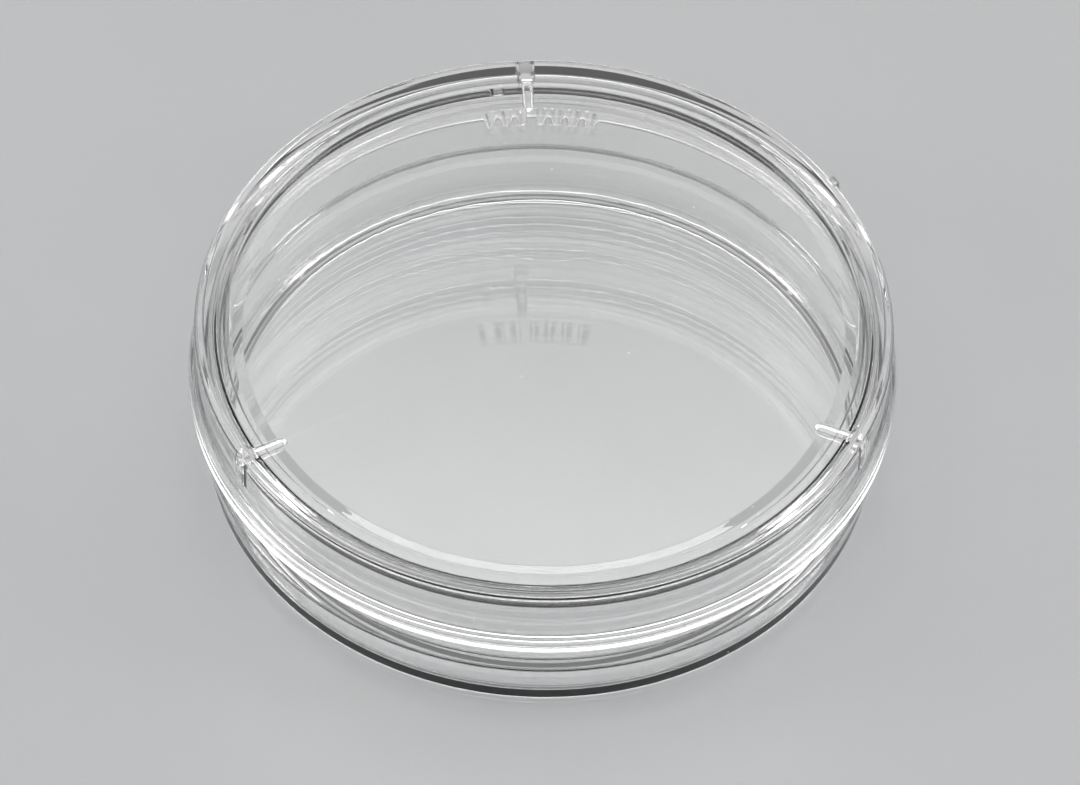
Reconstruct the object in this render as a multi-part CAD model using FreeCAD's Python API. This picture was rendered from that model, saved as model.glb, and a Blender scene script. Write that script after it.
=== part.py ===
import FreeCAD, Part
import math
import os

# A petri dish with its lid on: two clear polystyrene mouldings, a base dish and a loose vented lid.
# Both are turned about Z. Z = 0 is the surface that the foot stands on, and the centre is the origin.
# All sizes are in millimetres and degrees.

# Base dish
growth_radius = 25.8        # flat part of the floor, where the culture grows
floor_round = 1.3           # round from the floor up into the wall
floor_thickness = 0.85
foot_height = 0.95          # the foot ring holds the floor this far off the table
foot_width = 0.9
foot_draft = 0.1            # the ring is this much wider where it joins the floor
foot_edge = 0.2             # rounding of the foot ring's edges
base_height = 14.6          # table to the top of the base's rim
base_wall = 0.85
base_draft = 0.10           # the wall opens by this much from floor to rim
grip_height = 6.4           # table to the upper edge of the grip band
grip_band = 1.0             # height of the band's upright face
grip_proud = 0.95           # the band stands out this far from the upper wall
grip_ledge = 0.6            # the ledge above the band climbs this much to the wall
grip_step = 0.5             # the band stands out this far from the lower wall, over the same height
low_taper = 0.15            # the lower wall is this much narrower at the bottom than under the band
grip_round = 0.35
edge_round = 0.3            # rims of both mouldings
corner_round = 0.45         # outer bottom corner

# Lid
lid_clearance = 0.45        # all round, between the base's wall and the lid's skirt
lid_wall = 0.90
lid_draft = 0.10            # the skirt opens by this much towards its rim
lid_plate = 0.90            # thickness of the flat top
skirt_length = 5.45         # underside of the flat top to the skirt's rim
bead_proud = 0.52           # the bead on the skirt's rim stands out this far
bead_height = 1.6
bead_lean = 0.12            # the bead's face leans in by this much over its height
bead_slope = 0.25           # its upper edge slopes back to the skirt over this height
bead_foot = 0.15            # rounding between the bead and the skirt
crest_width = 0.7           # flat top of the raised rim, up to the skirt's outer face
crest_rise = 0.52           # height of the raised rim above the landing
ramp_width = 0.85           # inner slope of the raised rim
landing_width = 0.875       # flat ring inside the raised rim, where the next dish stands
step_rise = 0.08            # the landing is this much above the flat top
step_width = 0.15
step_round = 0.1
top_round = 0.3
soft_round = 0.5
thin_width = 3.15           # the underside rises this far in from the skirt, so the plate is thinner there
thin_slope = 0.9
thin_rise = 0.1
groove_width = 1.0          # the underside rises again over the base's rim
groove_slope = 0.45
groove_rise = 0.3
groove_round = 0.2

# Vents: three ribs carry the lid and leave a gap for air all round
vent_gap = 0.85             # between the base's rim and the flat underside
rib_width = 0.9
rib_reach = 3.7             # from the skirt inwards
rib_leg_length = 2.95       # each rib turns down the skirt this far below the groove
rib_leg_proud = 0.3         # the leg centres the lid, so it is less than the clearance
rib_leg_width = 1.3
rib_cross_reach = 0.6       # the rib widens to the leg's width this far in from the skirt
rib_angles = (94.5, 211.5, -22.5)

# Moulding marks on the lid
gate_angle = 34.5           # where the plastic came in, on the lid's top outer edge
gate_width = 1.0
gate_proud = 0.35
gate_drop = 0.05            # the gate ends this far under the lid's top
gate_height = 1.25
pad_angle = 100.0           # plain square pad under the plate
pad_size = 1.0
pad_height = 0.15
pad_inset = 0.65            # from the groove to the middle of the pad
dash_count = 7              # a curved row of plain raised dashes on the flat top
dash_step = 3.5             # degrees from one dash to the next
dash_width = 0.55
dash_length = 1.9
dash_height = 0.16
dash_inset = 2.05           # from where the plate thins to the middle of the row
dash_angle = 92.3

# How the lid stacks: the next dish's foot stands on the landing, inside the raised rim
stack_clearance = 0.35      # between the foot and the foot of the rim's slope
bond = 0.25                 # how deep a rib or mark is rooted in the wall that carries it

# Sizes that follow from those
floor_top = foot_height + floor_thickness
bore_low = growth_radius + floor_round
bore_rim = bore_low + base_draft
wall_out = bore_rim + base_wall
grip_out = wall_out + grip_proud
low_wall = grip_out - grip_step
bottom_out = low_wall - low_taper

flat_underside = base_height + vent_gap
flat_top = flat_underside + lid_plate
landing = flat_top + step_rise
lid_top = landing + crest_rise
thin_underside = flat_underside + thin_rise
groove_top = thin_underside + groove_rise
skirt_rim = flat_underside - skirt_length
skirt_in = wall_out + lid_clearance
skirt_out = skirt_in + lid_wall
bead_out = skirt_out + lid_draft + bead_proud
crest_in = skirt_out - crest_width
ramp_foot = crest_in - ramp_width
step_top = ramp_foot - landing_width
thin_in = skirt_in - thin_width
groove_in = skirt_in - groove_width
pad_radius = groove_in - pad_inset
dash_radius = thin_in - dash_inset
foot_out = ramp_foot - stack_clearance

Z_AXIS = FreeCAD.Vector(0, 0, 1)
ORIGIN = FreeCAD.Vector(0, 0, 0)


def point(radius, height):
    return FreeCAD.Vector(radius, 0, height)


def rounded_outline(corners):
    """Closed outline through (radius, height, rounding) corners, with each rounding as a tangent arc."""
    places = [point(radius, height) for radius, height, rounding in corners]
    starts, ends, middles = [], [], []
    for index, (radius, height, rounding) in enumerate(corners):
        corner = places[index]
        back = (places[index - 1] - corner).normalize()
        ahead = (places[(index + 1) % len(places)] - corner).normalize()
        half = back.getAngle(ahead) / 2
        setback = rounding / math.tan(half)
        starts.append(corner + back * setback)
        ends.append(corner + ahead * setback)
        inward = (back + ahead).normalize()
        middles.append(corner + inward * (rounding / math.sin(half) - rounding))
    edges = []
    for index in range(len(corners)):
        if corners[index][2] > 0:
            edges.append(Part.Arc(starts[index], middles[index], ends[index]).toShape())
        following = starts[(index + 1) % len(corners)]
        edges.append(Part.LineSegment(ends[index], following).toShape())
    return Part.Wire(edges)


def turned(corners):
    return Part.Face(rounded_outline(corners)).revolve(ORIGIN, Z_AXIS, 360)


def placed(shape, angle):
    """The shape, made along +X, turned to its angle about Z."""
    copy = shape.copy()
    copy.rotate(ORIGIN, Z_AXIS, angle)
    return copy


def block(low_x, high_x, width, low_z, high_z):
    """Box along +X with its width centred on the X axis."""
    corner = FreeCAD.Vector(low_x, -width / 2, low_z)
    return Part.makeBox(high_x - low_x, width, high_z - low_z, corner)


def make_base_dish():
    foot_in = foot_out - foot_width
    band_low = grip_height - grip_band
    return turned([
        (0, foot_height, 0),
        (foot_in - foot_draft, foot_height, foot_edge),
        (foot_in, 0, foot_edge),
        (foot_out, 0, foot_edge),
        (foot_out + foot_draft, foot_height, foot_edge),
        (bottom_out, foot_height, corner_round),
        (low_wall, band_low - grip_step, grip_round),
        (grip_out, band_low, grip_round),
        (grip_out, grip_height, grip_round),
        (wall_out, grip_height + grip_ledge, grip_round),
        (wall_out, base_height, edge_round),
        (bore_rim, base_height, edge_round),
        (bore_low, floor_top, floor_round),
        (0, floor_top, 0),
    ])


def make_lid_shell():
    return turned([
        (0, flat_underside, 0),
        (thin_in, flat_underside, soft_round),
        (thin_in + thin_slope, thin_underside, soft_round),
        (groove_in, thin_underside, soft_round / 2),
        (groove_in + groove_slope, groove_top, soft_round / 2),
        (skirt_in, groove_top, groove_round),
        (skirt_in + lid_draft, skirt_rim, edge_round),
        (bead_out, skirt_rim, edge_round),
        (bead_out - bead_lean, skirt_rim + bead_height, edge_round),
        (skirt_out, skirt_rim + bead_height + bead_slope, bead_foot),
        (skirt_out, lid_top, top_round),
        (crest_in, lid_top, soft_round),
        (ramp_foot, landing, soft_round),
        (step_top, landing, step_round),
        (step_top - step_width, flat_top, step_round),
        (0, flat_top, 0),
    ])


def make_rib():
    """One vent rib along +X: a bar with a round inner end under the plate, and a leg down the skirt."""
    inner_end = skirt_in - rib_reach + rib_width / 2
    top = flat_underside + bond
    bar = block(inner_end, skirt_in + bond, rib_width, base_height, top)
    end_place = point(inner_end, base_height)
    end = Part.makeCylinder(rib_width / 2, top - base_height, end_place, Z_AXIS)
    filling = block(groove_in - bond, skirt_in + bond, rib_width, base_height, groove_top + bond)
    leg_low = groove_top - rib_leg_length
    leg = block(skirt_in - rib_leg_proud, skirt_in + bond, rib_leg_width, leg_low, groove_top)
    cross = block(skirt_in - rib_cross_reach, skirt_in + bond, rib_leg_width, base_height, groove_top + bond)
    return bar.multiFuse([end, filling, leg, cross])


def make_gate():
    high = lid_top - gate_drop
    low = high - gate_height
    gate = block(skirt_out - bond - top_round, skirt_out + gate_proud, gate_width, low, high)
    return placed(gate, gate_angle)


def make_pad():
    low = thin_underside - pad_height
    pad = block(pad_radius - pad_size / 2, pad_radius + pad_size / 2, pad_size, low, thin_underside + bond)
    return placed(pad, pad_angle)


def make_dashes():
    inner = dash_radius - dash_length / 2
    dash = block(inner, inner + dash_length, dash_width, flat_top - bond, flat_top + dash_height)
    first = dash_angle - dash_step * (dash_count - 1) / 2
    return [placed(dash, first + dash_step * number) for number in range(dash_count)]


def make_lid():
    ribs = [placed(make_rib(), angle) for angle in rib_angles]
    return make_lid_shell().multiFuse(ribs + [make_gate(), make_pad()] + make_dashes())


def save(name, shape):
    solid = shape.removeSplitter()
    box = solid.BoundBox
    print(f"{name}: {len(solid.Solids)} solid, valid {solid.isValid()}, {solid.Volume:.0f} mm3, "
          f"r {box.XMax:.2f}, z {box.ZMin:.2f} to {box.ZMax:.2f}")
    solid.exportStep(f"parts/{name}.step")


os.makedirs("parts", exist_ok=True)
save("base_dish", make_base_dish())
save("lid", make_lid())
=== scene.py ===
import bpy
import bmesh
from math import atan2, cos, degrees, hypot, pi, radians, sin, tan
from mathutils import Matrix, Vector


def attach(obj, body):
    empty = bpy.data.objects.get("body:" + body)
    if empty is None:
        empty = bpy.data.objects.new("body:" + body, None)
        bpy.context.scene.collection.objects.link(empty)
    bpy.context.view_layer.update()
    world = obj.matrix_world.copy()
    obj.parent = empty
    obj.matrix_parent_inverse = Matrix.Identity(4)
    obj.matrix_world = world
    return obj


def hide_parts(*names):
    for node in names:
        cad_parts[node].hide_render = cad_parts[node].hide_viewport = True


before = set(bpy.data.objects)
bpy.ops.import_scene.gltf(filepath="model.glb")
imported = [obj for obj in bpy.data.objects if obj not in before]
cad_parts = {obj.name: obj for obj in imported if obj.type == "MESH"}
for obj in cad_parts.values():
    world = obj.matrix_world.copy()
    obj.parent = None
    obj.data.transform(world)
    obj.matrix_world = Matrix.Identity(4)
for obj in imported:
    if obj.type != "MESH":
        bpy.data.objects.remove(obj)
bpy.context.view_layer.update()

mm = 0.001


def hexToLinear(code):
    parts = [int(code[i:i + 2], 16) / 255 for i in (1, 3, 5)]
    return [c / 12.92 if c <= 0.04045 else ((c + 0.055) / 1.055) ** 2.4 for c in parts] + [1.0]


def addNode(tree, kind, settings={}, inputs={}, links={}):
    # settings are the node's own fields, inputs plain values, links (node, output) pairs
    node = tree.nodes.new(kind)
    for name, value in settings.items():
        setattr(node, name, value)
    for name, value in inputs.items():
        node.inputs[name].default_value = value
    for name, (source, output) in links.items():
        tree.links.new(source.outputs[output], node.inputs[name])
    return node


# a long lens that looks down at the front of the dish; distances in mm, angles in degrees
camera = {"lens": 272.9, "sensor": 36, "distance": 701, "elevation": 51.08, "roll": 1.88,
          "aimHeight": 7.4, "aimSide": -0.16}


def makeCamera():
    data = bpy.data.cameras.new("camera")
    data.lens = camera["lens"]
    data.sensor_width = camera["sensor"]
    rise = radians(camera["elevation"])
    place = Vector((0, -cos(rise), sin(rise))) * camera["distance"] * mm
    aim = Vector((camera["aimSide"], 0, camera["aimHeight"])) * mm
    turn = (aim - place).to_track_quat("-Z", "Y").to_matrix().to_4x4()
    view = bpy.data.objects.new("camera", data)
    roll = Matrix.Rotation(radians(camera["roll"]), 4, "Z")
    view.matrix_world = Matrix.Translation(place) @ turn @ roll
    bpy.context.collection.objects.link(view)
    bpy.context.scene.camera = view


makeCamera()
print("camera placed")


def setback(corners, index):
    # how far from its corner a rounding starts
    (r0, z0, _), (r1, z1, rounding), (r2, z2, _) = corners[index - 1:index + 2]
    back = Vector((r0 - r1, z0 - z1))
    ahead = Vector((r2 - r1, z2 - z1))
    return rounding / tan(back.angle(ahead) / 2) * mm


def makeOutline(bm, corners, segments=6, hold=0.05):
    # corners are (radius, height, rounding) in mm, and hold keeps the flats flat beside a rounding
    points = [bm.verts.new((r * mm, 0, z * mm)) for r, z, rounding in corners]
    for start, end in zip(points, points[1:]):
        bm.edges.new((start, end))
    for index, (r, z, rounding) in enumerate(corners):
        if rounding:
            bmesh.ops.bevel(bm, geom=[points[index]], offset=setback(corners, index), offset_type="OFFSET",
                            affect="VERTICES", segments=segments, profile=0.5, material=-1)
    for edge in [e for e in bm.edges if e.calc_length() > 3 * hold * mm]:
        end = edge.verts[1]
        edge, near = bmesh.utils.edge_split(edge, edge.verts[0], hold * mm / edge.calc_length())
        rest = next(e for e in near.link_edges if end in e.verts)
        bmesh.utils.edge_split(rest, end, hold * mm / rest.calc_length())


def polar(vert):
    return hypot(vert.co.x, vert.co.y) / mm, degrees(atan2(vert.co.y, vert.co.x)) % 360, vert.co.z / mm


def setPolar(vert, r, turn, z):
    vert.co = Vector((r * cos(radians(turn)), r * sin(radians(turn)), z)) * mm


def meridians(marks=(), coarse=1.5, sectors=16):
    # angles all round, one at each mark, no two more than coarse degrees apart, in a multiple of sectors
    stops = sorted({0.0, 360.0} | {round(mark % 360, 4) for mark in marks})
    gaps = [end - start for start, end in zip(stops, stops[1:])]
    while max(gaps) > coarse or len(gaps) % sectors:
        widest = gaps.index(max(gaps))
        stops.insert(widest + 1, stops[widest] + gaps[widest] / 2)
        gaps[widest:widest + 1] = [gaps[widest] / 2] * 2
    return stops[:-1]


def spinOutline(bm, turns, sectors=16, merge=0.0005):
    # one sector is spun, then copied all round, and then each meridian goes to its own angle
    count = len(turns)
    axis = {"cent": (0, 0, 0), "axis": (0, 0, 1)}
    bmesh.ops.spin(bm, geom=bm.verts[:] + bm.edges[:], angle=2 * pi / sectors, steps=count // sectors,
                   use_merge=False, use_duplicate=False, **axis)
    bmesh.ops.spin(bm, geom=bm.verts[:] + bm.edges[:] + bm.faces[:], angle=2 * pi * (sectors - 1) / sectors,
                   steps=sectors - 1, use_merge=False, use_duplicate=True, **axis)
    for vert in bm.verts:
        r, turn, z = polar(vert)
        setPolar(vert, r, turns[round(turn * count / 360) % count], z)
    bmesh.ops.remove_doubles(bm, verts=bm.verts[:], dist=merge * mm)
    bmesh.ops.recalc_face_normals(bm, faces=bm.faces[:])


def finishPiece(bm, name, body, node, material):
    mesh = bpy.data.meshes.new(name)
    bm.to_mesh(mesh)
    bm.free()
    mesh.shade_smooth()
    mesh.materials.append(material)
    piece = bpy.data.objects.new(name, mesh)
    bpy.context.collection.objects.link(piece)
    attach(piece, body)
    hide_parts(node)
    print(name, len(mesh.polygons), "faces")


# polystyrene, injection moulded against polished steel: water clear with a high index, so thin walls
# nearly vanish and every edge gathers bright and dark lines. The flow leaves broad, faint waves, the turned
# mould leaves fine rings round the middle (drawn coarser than real, to show), and handling leaves hairlines
# and a few matt specks. Sizes are in mm. scuffs and specks say where in its pattern a mark starts and is full
polystyrene = {
    "ior": 1.59, "tint": "#fbfbfb", "shadowTint": "#f2f3f3", "polished": 0.0, "frosted": 0.26,
    "waveSize": 9.0, "waveDepth": 0.0016, "ringPitch": 0.7, "ringDepth": 0.0002,
    "scuffLength": 7.0, "scuffSpacing": 1.0, "scuffs": (0.62, 0.78), "scuffRoughness": 0.03,
    "speckSpacing": 3.15, "specks": (0.035, 0.02), "speckRoughness": 0.3,
}
ringUnit = 0.314  # width of one ring where a wave texture's scale is 1


def makePolystyrene(name, shift, scuffTurn):
    # shift and scuffTurn give each moulding its own pattern
    material = bpy.data.materials.new(name)
    material.use_nodes = True
    tree = material.node_tree
    tree.nodes.clear()
    place = addNode(tree, "ShaderNodeTexCoord")
    shifted = addNode(tree, "ShaderNodeMapping", inputs={"Location": shift},
                      links={"Vector": (place, "Object")})
    waves = addNode(tree, "ShaderNodeTexNoise",
                    inputs={"Scale": 1 / (polystyrene["waveSize"] * mm), "Detail": 1.5, "Roughness": 0.4},
                    links={"Vector": (shifted, "Vector")})
    rings = addNode(tree, "ShaderNodeTexWave", {"wave_type": "RINGS", "rings_direction": "Z"},
                    {"Scale": ringUnit / (polystyrene["ringPitch"] * mm), "Distortion": 0.6, "Detail": 2.0},
                    {"Vector": (place, "Object")})
    along = 1 / (polystyrene["scuffLength"] * mm)
    across = 1 / (polystyrene["scuffSpacing"] * mm)
    stretched = addNode(tree, "ShaderNodeMapping",
                        inputs={"Rotation": scuffTurn, "Scale": (along, across, along)},
                        links={"Vector": (shifted, "Vector")})
    scuffs = addNode(tree, "ShaderNodeTexNoise", inputs={"Scale": 1.0, "Detail": 3.0, "Roughness": 0.7},
                     links={"Vector": (stretched, "Vector")})
    start, full = polystyrene["scuffs"]
    scuffLines = addNode(tree, "ShaderNodeMapRange",
                         inputs={"From Min": start, "From Max": full,
                                 "To Max": polystyrene["scuffRoughness"]},
                         links={"Value": (scuffs, "Fac")})
    specks = addNode(tree, "ShaderNodeTexVoronoi", inputs={"Scale": 1 / (polystyrene["speckSpacing"] * mm)},
                     links={"Vector": (shifted, "Vector")})
    start, full = polystyrene["specks"]
    speckDots = addNode(tree, "ShaderNodeMapRange",
                        inputs={"From Min": start, "From Max": full,
                                "To Max": polystyrene["speckRoughness"]},
                        links={"Value": (specks, "Distance")})
    wear = addNode(tree, "ShaderNodeMath", {"operation": "ADD"},
                   links={0: (scuffLines, "Result"), 1: (speckDots, "Result")})
    # ribs and marks come from spark-cut parts of the mould, so they are frosted
    marked = addNode(tree, "ShaderNodeAttribute", {"attribute_name": "frost"})
    frost = addNode(tree, "ShaderNodeMapRange",
                    inputs={"To Min": polystyrene["polished"], "To Max": polystyrene["frosted"]},
                    links={"Value": (marked, "Fac")})
    roughness = addNode(tree, "ShaderNodeMath", {"operation": "ADD"},
                        links={0: (wear, "Value"), 1: (frost, "Result")})
    flow = addNode(tree, "ShaderNodeBump",
                   inputs={"Strength": 1.0, "Distance": polystyrene["waveDepth"] * mm},
                   links={"Height": (waves, "Fac")})
    turned = addNode(tree, "ShaderNodeBump",
                     inputs={"Strength": 1.0, "Distance": polystyrene["ringDepth"] * mm},
                     links={"Height": (rings, "Fac"), "Normal": (flow, "Normal")})
    shade = addNode(tree, "ShaderNodeMix", {"data_type": "RGBA"},
                    {"A": hexToLinear(polystyrene["tint"]), "B": hexToLinear("#ffffff")},
                    {"Factor": (waves, "Fac")})
    shader = addNode(tree, "ShaderNodeBsdfPrincipled",
                     inputs={"IOR": polystyrene["ior"], "Transmission Weight": 1.0},
                     links={"Base Color": (shade, "Result"), "Roughness": (roughness, "Value"),
                            "Normal": (turned, "Normal")})
    # lamps shine straight through, each surface taking a little of their light, so the shadow stays pale
    passing = addNode(tree, "ShaderNodeBsdfTransparent",
                      inputs={"Color": hexToLinear(polystyrene["shadowTint"])})
    path = addNode(tree, "ShaderNodeLightPath")
    surface = addNode(tree, "ShaderNodeMixShader",
                      links={0: (path, "Is Shadow Ray"), 1: (shader, "BSDF"), 2: (passing, "BSDF")})
    addNode(tree, "ShaderNodeOutputMaterial", links={"Surface": (surface, "Shader")})
    return material


# the base dish, in mm, up from the foot
base = {
    "rimHeight": 14.6, "gripRadius": 29.0, "wall": 0.85, "draft": 0.10, "lowTaper": 0.15,
    "gripProud": 0.95, "gripHeight": 6.4, "gripLedge": 0.6, "gripBand": 1.0, "gripStep": 0.5,
    "footHeight": 0.95, "footWidth": 0.9, "footOut": 27.5, "footEdge": 0.2, "footSlope": 0.1,
    "floor": 0.85, "floorRound": 1.3, "cornerRound": 0.45, "gripRound": 0.35, "edgeRound": 0.3,
    "finish": {"name": "clear moulded polystyrene, base", "shift": (3.1, 2.17, 0),
               "scuffTurn": (0.4, 0.2, 124)},
}


def makeBase():
    wallOut = base["gripRadius"] - base["gripProud"]
    boreRim = wallOut - base["wall"]
    boreLow = boreRim - base["draft"]
    lowWall = base["gripRadius"] - base["gripStep"]
    bottom = lowWall - base["lowTaper"]
    gripLow = base["gripHeight"] - base["gripBand"]
    lift, slope, edge = base["footHeight"], base["footSlope"], base["footEdge"]
    footIn = base["footOut"] - base["footWidth"]
    floorTop = lift + base["floor"]
    bm = bmesh.new()
    makeOutline(bm, [
        (0, lift, 0),
        (footIn - slope, lift, edge),
        (footIn, 0, edge),
        (base["footOut"], 0, edge),
        (base["footOut"] + slope, lift, edge),
        (bottom, lift, base["cornerRound"]),
        (lowWall, gripLow - base["gripStep"], base["gripRound"]),
        (base["gripRadius"], gripLow, base["gripRound"]),
        (base["gripRadius"], base["gripHeight"], base["gripRound"]),
        (wallOut, base["gripHeight"] + base["gripLedge"], base["gripRound"]),
        (wallOut, base["rimHeight"], base["edgeRound"]),
        (boreRim, base["rimHeight"], base["edgeRound"]),
        (boreLow, floorTop, base["floorRound"]),
        (0, floorTop, 0),
    ])
    spinOutline(bm, meridians())
    finishPiece(bm, "baseDish", "base", "base_dish", makePolystyrene(**base["finish"]))


makeBase()


# the lid and the marks on it, in mm and degrees. A mark's half is half its width, measured at its radius.
# across and along give the meridians and rings of vertices that it needs, as shares of its half. Its sides
# slope over drafted, and what is raised by more than frostFrom is frosted. A rib's section is half an ellipse
# where square is 2, and squarer above that. cornerTicks are heights down its corner, and the leans are how
# far the skirt opens there
lid = {
    "top": 16.95, "rim": 10.0, "radius": 30.02, "wall": 0.90, "draft": 0.10, "plate": 0.90,
    "beadProud": 0.62, "beadHeight": 1.6, "beadLean": 0.12, "beadSlope": 0.25, "beadFoot": 0.15,
    "crest": 0.7, "ramp": 0.85, "rampDrop": 0.52, "stepRadius": 26.9, "stepWidth": 0.15, "stepRise": 0.08,
    "thinIn": 25.35, "thinSlope": 0.9, "thinRise": 0.1,
    "grooveIn": 27.5, "grooveSlope": 0.45, "grooveRise": 0.3,
    "edgeRound": 0.3, "topRound": 0.3, "softRound": 0.5, "grooveRound": 0.2, "stepRound": 0.1,
    "drafted": 0.07, "frostFrom": 0.02,
    "ribs": {"angles": (94.5, 211.5, 337.5), "half": 0.45, "start": 24.8, "legLow": 12.9, "legProud": 0.3,
             "legHalf": 0.65, "cross": 0.6, "corner": 0.25, "square": 5, "radius": 27,
             "across": (0, 0.35, 0.6, 0.78, 0.9, 0.97, 1), "legAcross": (0.8, 0.9, 0.97, 1),
             "along": (0, 0.1, 0.3, 0.6, 1), "cornerTicks": (15.0, 14.75, 14.5, 14.3),
             "cornerLean": 0.01, "legLean": 0.04},
    "gate": {"angle": 34.5, "half": 0.5, "proud": 0.35, "low": 15.65, "middle": 15.95, "drop": 0.05,
             "across": (1, 0.86)},
    "pad": {"angle": 100.0, "half": 0.5, "height": 0.15, "radius": 26.85, "across": (1, 0.86)},
    "dashes": {"angle": 92.3, "count": 7, "step": 3.5, "half": 0.275, "length": 1.9, "height": 0.16,
               "radius": 23.3, "across": (1, 0.7)},
    "finish": {"name": "clear moulded polystyrene, lid", "shift": (5.7, 3.99, 0),
               "scuffTurn": (0.4, 0.2, 228)},
}
ribs, gate, pad, dashes = lid["ribs"], lid["gate"], lid["pad"], lid["dashes"]
close = 0.001  # mm, near enough to a level face

# heights and radii that follow from those
landing = lid["top"] - lid["rampDrop"]
plateTop = landing - lid["stepRise"]
plateUnder = plateTop - lid["plate"]
channel = plateUnder + lid["thinRise"]
groove = channel + lid["grooveRise"]
skirtOut = lid["radius"] - lid["beadProud"]
skirtIn = skirtOut - lid["wall"]
crestIn = skirtOut - lid["crest"]
rampFoot = crestIn - lid["ramp"]


def markTicks(middle, half):
    # both edges of a mark, and where its sloping sides end
    return [middle + side * (half - inset)
            for side, inset in ((-1, 0), (-1, lid["drafted"]), (1, lid["drafted"]), (1, 0))]


def makeLidOutline(bm):
    # besides its corners the outline has a point wherever a rib or mark needs a ring of vertices
    edge, soft = lid["edgeRound"], lid["softRound"]
    ribTicks = [ribs["start"] + share * ribs["half"] for share in ribs["along"]]
    legTicks = [ribs["legLow"] + share * ribs["legHalf"] for share in reversed(ribs["along"])]
    dashTicks = reversed(markTicks(dashes["radius"], dashes["length"] / 2))
    beadTop = lid["rim"] + lid["beadHeight"]
    makeOutline(bm, [
        (0, plateUnder, 0),
        *[(r, plateUnder, 0) for r in ribTicks],
        (lid["thinIn"], plateUnder, soft),
        (lid["thinIn"] + lid["thinSlope"], channel, soft),
        *[(r, channel, 0) for r in markTicks(pad["radius"], pad["half"])],
        (lid["grooveIn"], channel, soft / 2),
        (lid["grooveIn"] + lid["grooveSlope"], groove, soft / 2),
        (skirtIn, groove, lid["grooveRound"]),
        *[(skirtIn + ribs["cornerLean"], z, 0) for z in ribs["cornerTicks"]],
        *[(skirtIn + ribs["legLean"], z, 0) for z in legTicks],
        (skirtIn + lid["draft"], lid["rim"], edge),
        (lid["radius"], lid["rim"], edge),
        (lid["radius"] - lid["beadLean"], beadTop, edge),
        (skirtOut, beadTop + lid["beadSlope"], lid["beadFoot"]),
        *[(skirtOut, z, 0) for z in (gate["low"], gate["low"] + lid["drafted"], gate["middle"])],
        (skirtOut, lid["top"], lid["topRound"]),
        (crestIn, lid["top"], soft),
        (rampFoot, landing, soft),
        (lid["stepRadius"] + lid["stepWidth"] / 2, landing, lid["stepRound"]),
        (lid["stepRadius"] - lid["stepWidth"] / 2, plateTop, lid["stepRound"]),
        *[(r, plateTop, 0) for r in dashTicks],
        (0, plateTop, 0),
    ])


def acrossMark(angle, half, radius, shares):
    # meridians at these shares of a half width, in degrees
    return [angle + side * share * degrees(half / radius) for share in shares for side in (-1, 1)]


def lidMarks():
    marks = []
    for angle in ribs["angles"]:
        marks += acrossMark(angle, ribs["half"], ribs["radius"], ribs["across"])
        marks += acrossMark(angle, ribs["legHalf"], ribs["radius"], ribs["legAcross"])
    marks += acrossMark(gate["angle"], gate["half"], skirtOut, gate["across"])
    marks += acrossMark(pad["angle"], pad["half"], pad["radius"], pad["across"])
    for number in range(dashes["count"]):
        angle = dashes["angle"] + (number - (dashes["count"] - 1) / 2) * dashes["step"]
        marks += acrossMark(angle, dashes["half"], dashes["radius"], dashes["across"])
    return marks


def ease(inside):
    # 0 at the edge of a mark, 1 once past its sloping side
    return max(0.0, min(1.0, inside / lid["drafted"]))


def raiseRib(angle, r, turn, z):
    # the rib has a rounded section and inner end, and a rounded corner where it turns down the skirt
    half = ribs["legHalf"] if r > skirtIn - ribs["cross"] else ribs["half"]
    across = radians(turn - angle) * ribs["radius"]
    if abs(across) > half or z > groove + close or r > skirtIn + lid["draft"] or r < ribs["start"]:
        return r, z
    short = min(0, r - ribs["start"] - half)
    low = min(0, z - ribs["legLow"] - half)
    x = hypot(across, short, low) / half
    if x >= 1:
        return r, z
    rise = (1 - x ** ribs["square"]) ** 0.5
    rim, leg = base["rimHeight"], skirtIn - ribs["legProud"]
    cornerR, cornerZ = leg - ribs["corner"], rim - ribs["corner"]
    if r > cornerR and z > cornerZ:
        swing = atan2(z - cornerZ, r - cornerR)
        newR = cornerR + ribs["corner"] * cos(swing)
        newZ = cornerZ + ribs["corner"] * sin(swing)
    else:
        newR, newZ = (r, rim) if z > cornerZ else (leg, z)
    return r + (newR - r) * rise, z + (newZ - z) * rise


def raisePad(r, turn, z):
    if abs(z - channel) > close:
        return r, z
    across = pad["half"] - abs(radians(turn - pad["angle"]) * pad["radius"])
    return r, z - pad["height"] * min(ease(across), ease(pad["half"] - abs(r - pad["radius"])))


def raiseDash(r, turn, z):
    number = round((turn - dashes["angle"]) / dashes["step"])
    if abs(z - plateTop) > close or abs(number) > dashes["count"] // 2:
        return r, z
    middle = dashes["angle"] + number * dashes["step"]
    across = dashes["half"] - abs(radians(turn - middle) * dashes["radius"])
    along = dashes["length"] / 2 - abs(r - dashes["radius"])
    return r, z + dashes["height"] * min(ease(across), ease(along))


def raiseGate(r, turn, z):
    # below the top rounding the gate stands straight out, and above it the rounding is pulled out to a corner
    if r < skirtOut - lid["topRound"] or z < gate["low"]:
        return r, z
    across = gate["half"] - abs(radians(turn - gate["angle"]) * skirtOut)
    lift = min(ease(across), ease(z - gate["low"]))
    centreR, centreZ = skirtOut - lid["topRound"], lid["top"] - lid["topRound"]
    reachR, reachZ = lid["topRound"] + gate["proud"], lid["topRound"] - gate["drop"]
    newR, newZ = centreR + reachR, z
    if z > centreZ:
        swing = atan2(z - centreZ, r - centreR)
        reach = 1 / max(cos(swing) / reachR, sin(swing) / reachZ)
        newR, newZ = centreR + reach * cos(swing), centreZ + reach * sin(swing)
    return r + (newR - r) * lift, z + (newZ - z) * lift


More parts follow.
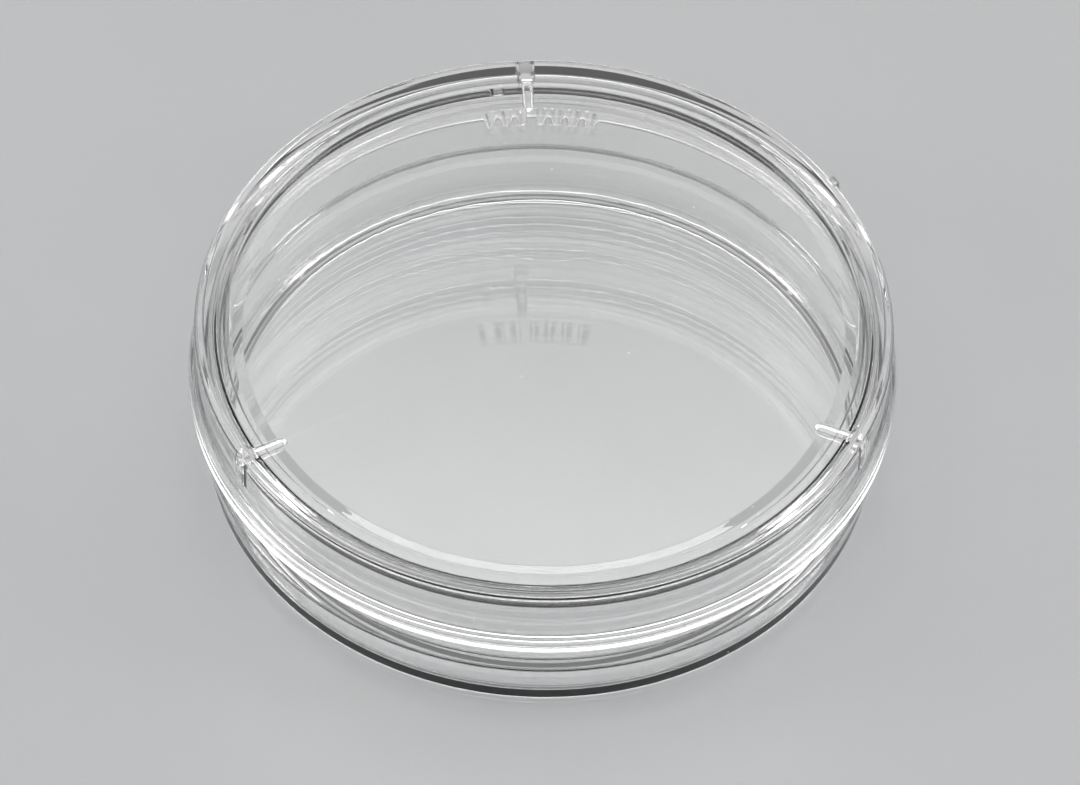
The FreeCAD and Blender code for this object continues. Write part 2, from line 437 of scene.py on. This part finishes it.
def makeLid():
    bm = bmesh.new()
    makeLidOutline(bm)
    spinOutline(bm, meridians(lidMarks()))
    frost = bm.verts.layers.float.new("frost")
    for vert in bm.verts:
        r, turn, z = place = polar(vert)
        for angle in ribs["angles"]:
            r, z = raiseRib(angle, r, turn, z)
        for raiseMark in (raisePad, raiseDash, raiseGate):
            r, z = raiseMark(r, turn, z)
        moved = hypot(r - place[0], z - place[2])
        vert[frost] = 1.0 if moved > lid["frostFrom"] else 0.0
        setPolar(vert, r, turn, z)
    bmesh.ops.recalc_face_normals(bm, faces=bm.faces[:])
    finishPiece(bm, "dishLid", "lid", "lid", makePolystyrene(**lid["finish"]))


makeLid()


# a plain pale board, big enough for every view, sprayed with satin paint that leaves a faint orange peel;
# sizes in mm
floor = {"size": 6000, "colours": ("#88898a", "#8d8e8f"), "patch": 60, "patchSpread": (0.3, 0.7),
         "roughness": (0.32, 0.42), "peel": 1.4, "peelDepth": 0.004, "peelStrength": 0.5}


def makeSatinPaint():
    material = bpy.data.materials.new("satin painted board")
    material.use_nodes = True
    tree = material.node_tree
    shader = tree.nodes["Principled BSDF"]
    place = addNode(tree, "ShaderNodeTexCoord")
    patches = addNode(tree, "ShaderNodeTexNoise", inputs={"Scale": 1 / (floor["patch"] * mm), "Detail": 4.0},
                      links={"Vector": (place, "Object")})
    peel = addNode(tree, "ShaderNodeTexNoise", inputs={"Scale": 1 / (floor["peel"] * mm), "Detail": 2.0},
                   links={"Vector": (place, "Object")})
    low, high = [hexToLinear(code) for code in floor["colours"]]
    colour = addNode(tree, "ShaderNodeMix", {"data_type": "RGBA"}, {"A": low, "B": high},
                     {"Factor": (patches, "Fac")})
    start, full = floor["patchSpread"]
    smooth, dull = floor["roughness"]
    roughness = addNode(tree, "ShaderNodeMapRange",
                        inputs={"From Min": start, "From Max": full, "To Min": smooth, "To Max": dull},
                        links={"Value": (patches, "Fac")})
    bump = addNode(tree, "ShaderNodeBump",
                   inputs={"Strength": floor["peelStrength"], "Distance": floor["peelDepth"] * mm},
                   links={"Height": (peel, "Fac")})
    tree.links.new(colour.outputs["Result"], shader.inputs["Base Color"])
    tree.links.new(roughness.outputs["Result"], shader.inputs["Roughness"])
    tree.links.new(bump.outputs["Normal"], shader.inputs["Normal"])
    return material


def makeFloor():
    bm = bmesh.new()
    bmesh.ops.create_grid(bm, x_segments=1, y_segments=1, size=floor["size"] / 2 * mm)
    mesh = bpy.data.meshes.new("floor")
    bm.to_mesh(mesh)
    bm.free()
    board = bpy.data.objects.new("floor", mesh)
    bpy.context.collection.objects.link(board)
    mesh.materials.append(makeSatinPaint())


makeFloor()

# strips beside and behind the dish: azimuth from +X and elevation in degrees, distance and size in mm,
# power in watts
strips = {
    "left": {"azimuth": 187, "elevation": 25, "distance": 600, "width": 180, "height": 300, "power": 1.4},
    "right": {"azimuth": -7, "elevation": 25, "distance": 600, "width": 180, "height": 300, "power": 1.4},
    "back": {"azimuth": 90, "elevation": 27, "distance": 800, "width": 700, "height": 90, "power": 1.2},
}
# one big overhead soft box with feathered sides, drawn in the sky: how far each side lies from straight
# overhead, as sideways over upwards, from where it starts to fade to where it is dark. Below lowest,
# upwards counts as lowest
softbox = {"colour": "#fffefd", "strength": 2.2, "lowest": 0.02,
           "back": (0.72, 0.95), "front": (0.8, 1.2), "side": (1.2, 1.8)}
sky = {"colour": "#e4e5e9", "strength": 0.32}


def makeSky():
    world = bpy.data.worlds.new("studio")
    world.use_nodes = True
    tree = world.node_tree
    tree.nodes.clear()
    place = addNode(tree, "ShaderNodeTexCoord")
    way = addNode(tree, "ShaderNodeSeparateXYZ", links={"Vector": (place, "Generated")})
    up = addNode(tree, "ShaderNodeMath", {"operation": "MAXIMUM"}, {1: softbox["lowest"]}, {0: (way, "Z")})
    away = addNode(tree, "ShaderNodeMath", {"operation": "DIVIDE"}, links={0: (way, "Y"), 1: (up, "Value")})
    near = addNode(tree, "ShaderNodeMath", {"operation": "MULTIPLY"}, {1: -1.0}, {0: (away, "Value")})
    aside = addNode(tree, "ShaderNodeMath", {"operation": "DIVIDE"}, links={0: (way, "X"), 1: (up, "Value")})
    wide = addNode(tree, "ShaderNodeMath", {"operation": "ABSOLUTE"}, links={0: (aside, "Value")})
    fades = []
    for source, side in ((away, "back"), (near, "front"), (wide, "side")):
        start, end = softbox[side]
        fades.append(addNode(tree, "ShaderNodeMapRange", {"interpolation_type": "SMOOTHSTEP"},
                             {"From Min": start, "From Max": end, "To Min": 1.0, "To Max": 0.0},
                             {"Value": (source, "Value")}))
    deep = addNode(tree, "ShaderNodeMath", {"operation": "MULTIPLY"},
                   links={0: (fades[0], "Result"), 1: (fades[1], "Result")})
    light = addNode(tree, "ShaderNodeMath", {"operation": "MULTIPLY"},
                    links={0: (deep, "Value"), 1: (fades[2], "Result")})
    box = addNode(tree, "ShaderNodeBackground",
                  inputs={"Color": hexToLinear(softbox["colour"]), "Strength": softbox["strength"]})
    dim = addNode(tree, "ShaderNodeBackground",
                  inputs={"Color": hexToLinear(sky["colour"]), "Strength": sky["strength"]})
    both = addNode(tree, "ShaderNodeMixShader",
                   links={0: (light, "Value"), 1: (dim, "Background"), 2: (box, "Background")})
    addNode(tree, "ShaderNodeOutputWorld", links={"Surface": (both, "Shader")})
    bpy.context.scene.world = world


def makeStrips():
    for name, strip in strips.items():
        data = bpy.data.lights.new(name, "AREA")
        data.shape = "RECTANGLE"
        data.size = strip["width"] * mm
        data.size_y = strip["height"] * mm
        data.energy = strip["power"]
        around, rise = radians(strip["azimuth"]), radians(strip["elevation"])
        place = Vector((cos(around) * cos(rise), sin(around) * cos(rise), sin(rise))) * strip["distance"] * mm
        lamp = bpy.data.objects.new(name, data)
        turn = (-place).to_track_quat("-Z", "Y").to_matrix().to_4x4()
        lamp.matrix_world = Matrix.Translation(place) @ turn
        bpy.context.collection.objects.link(lamp)


makeSky()
makeStrips()
bpy.context.scene.view_settings.view_transform = "Standard"
print("floor and lights placed")
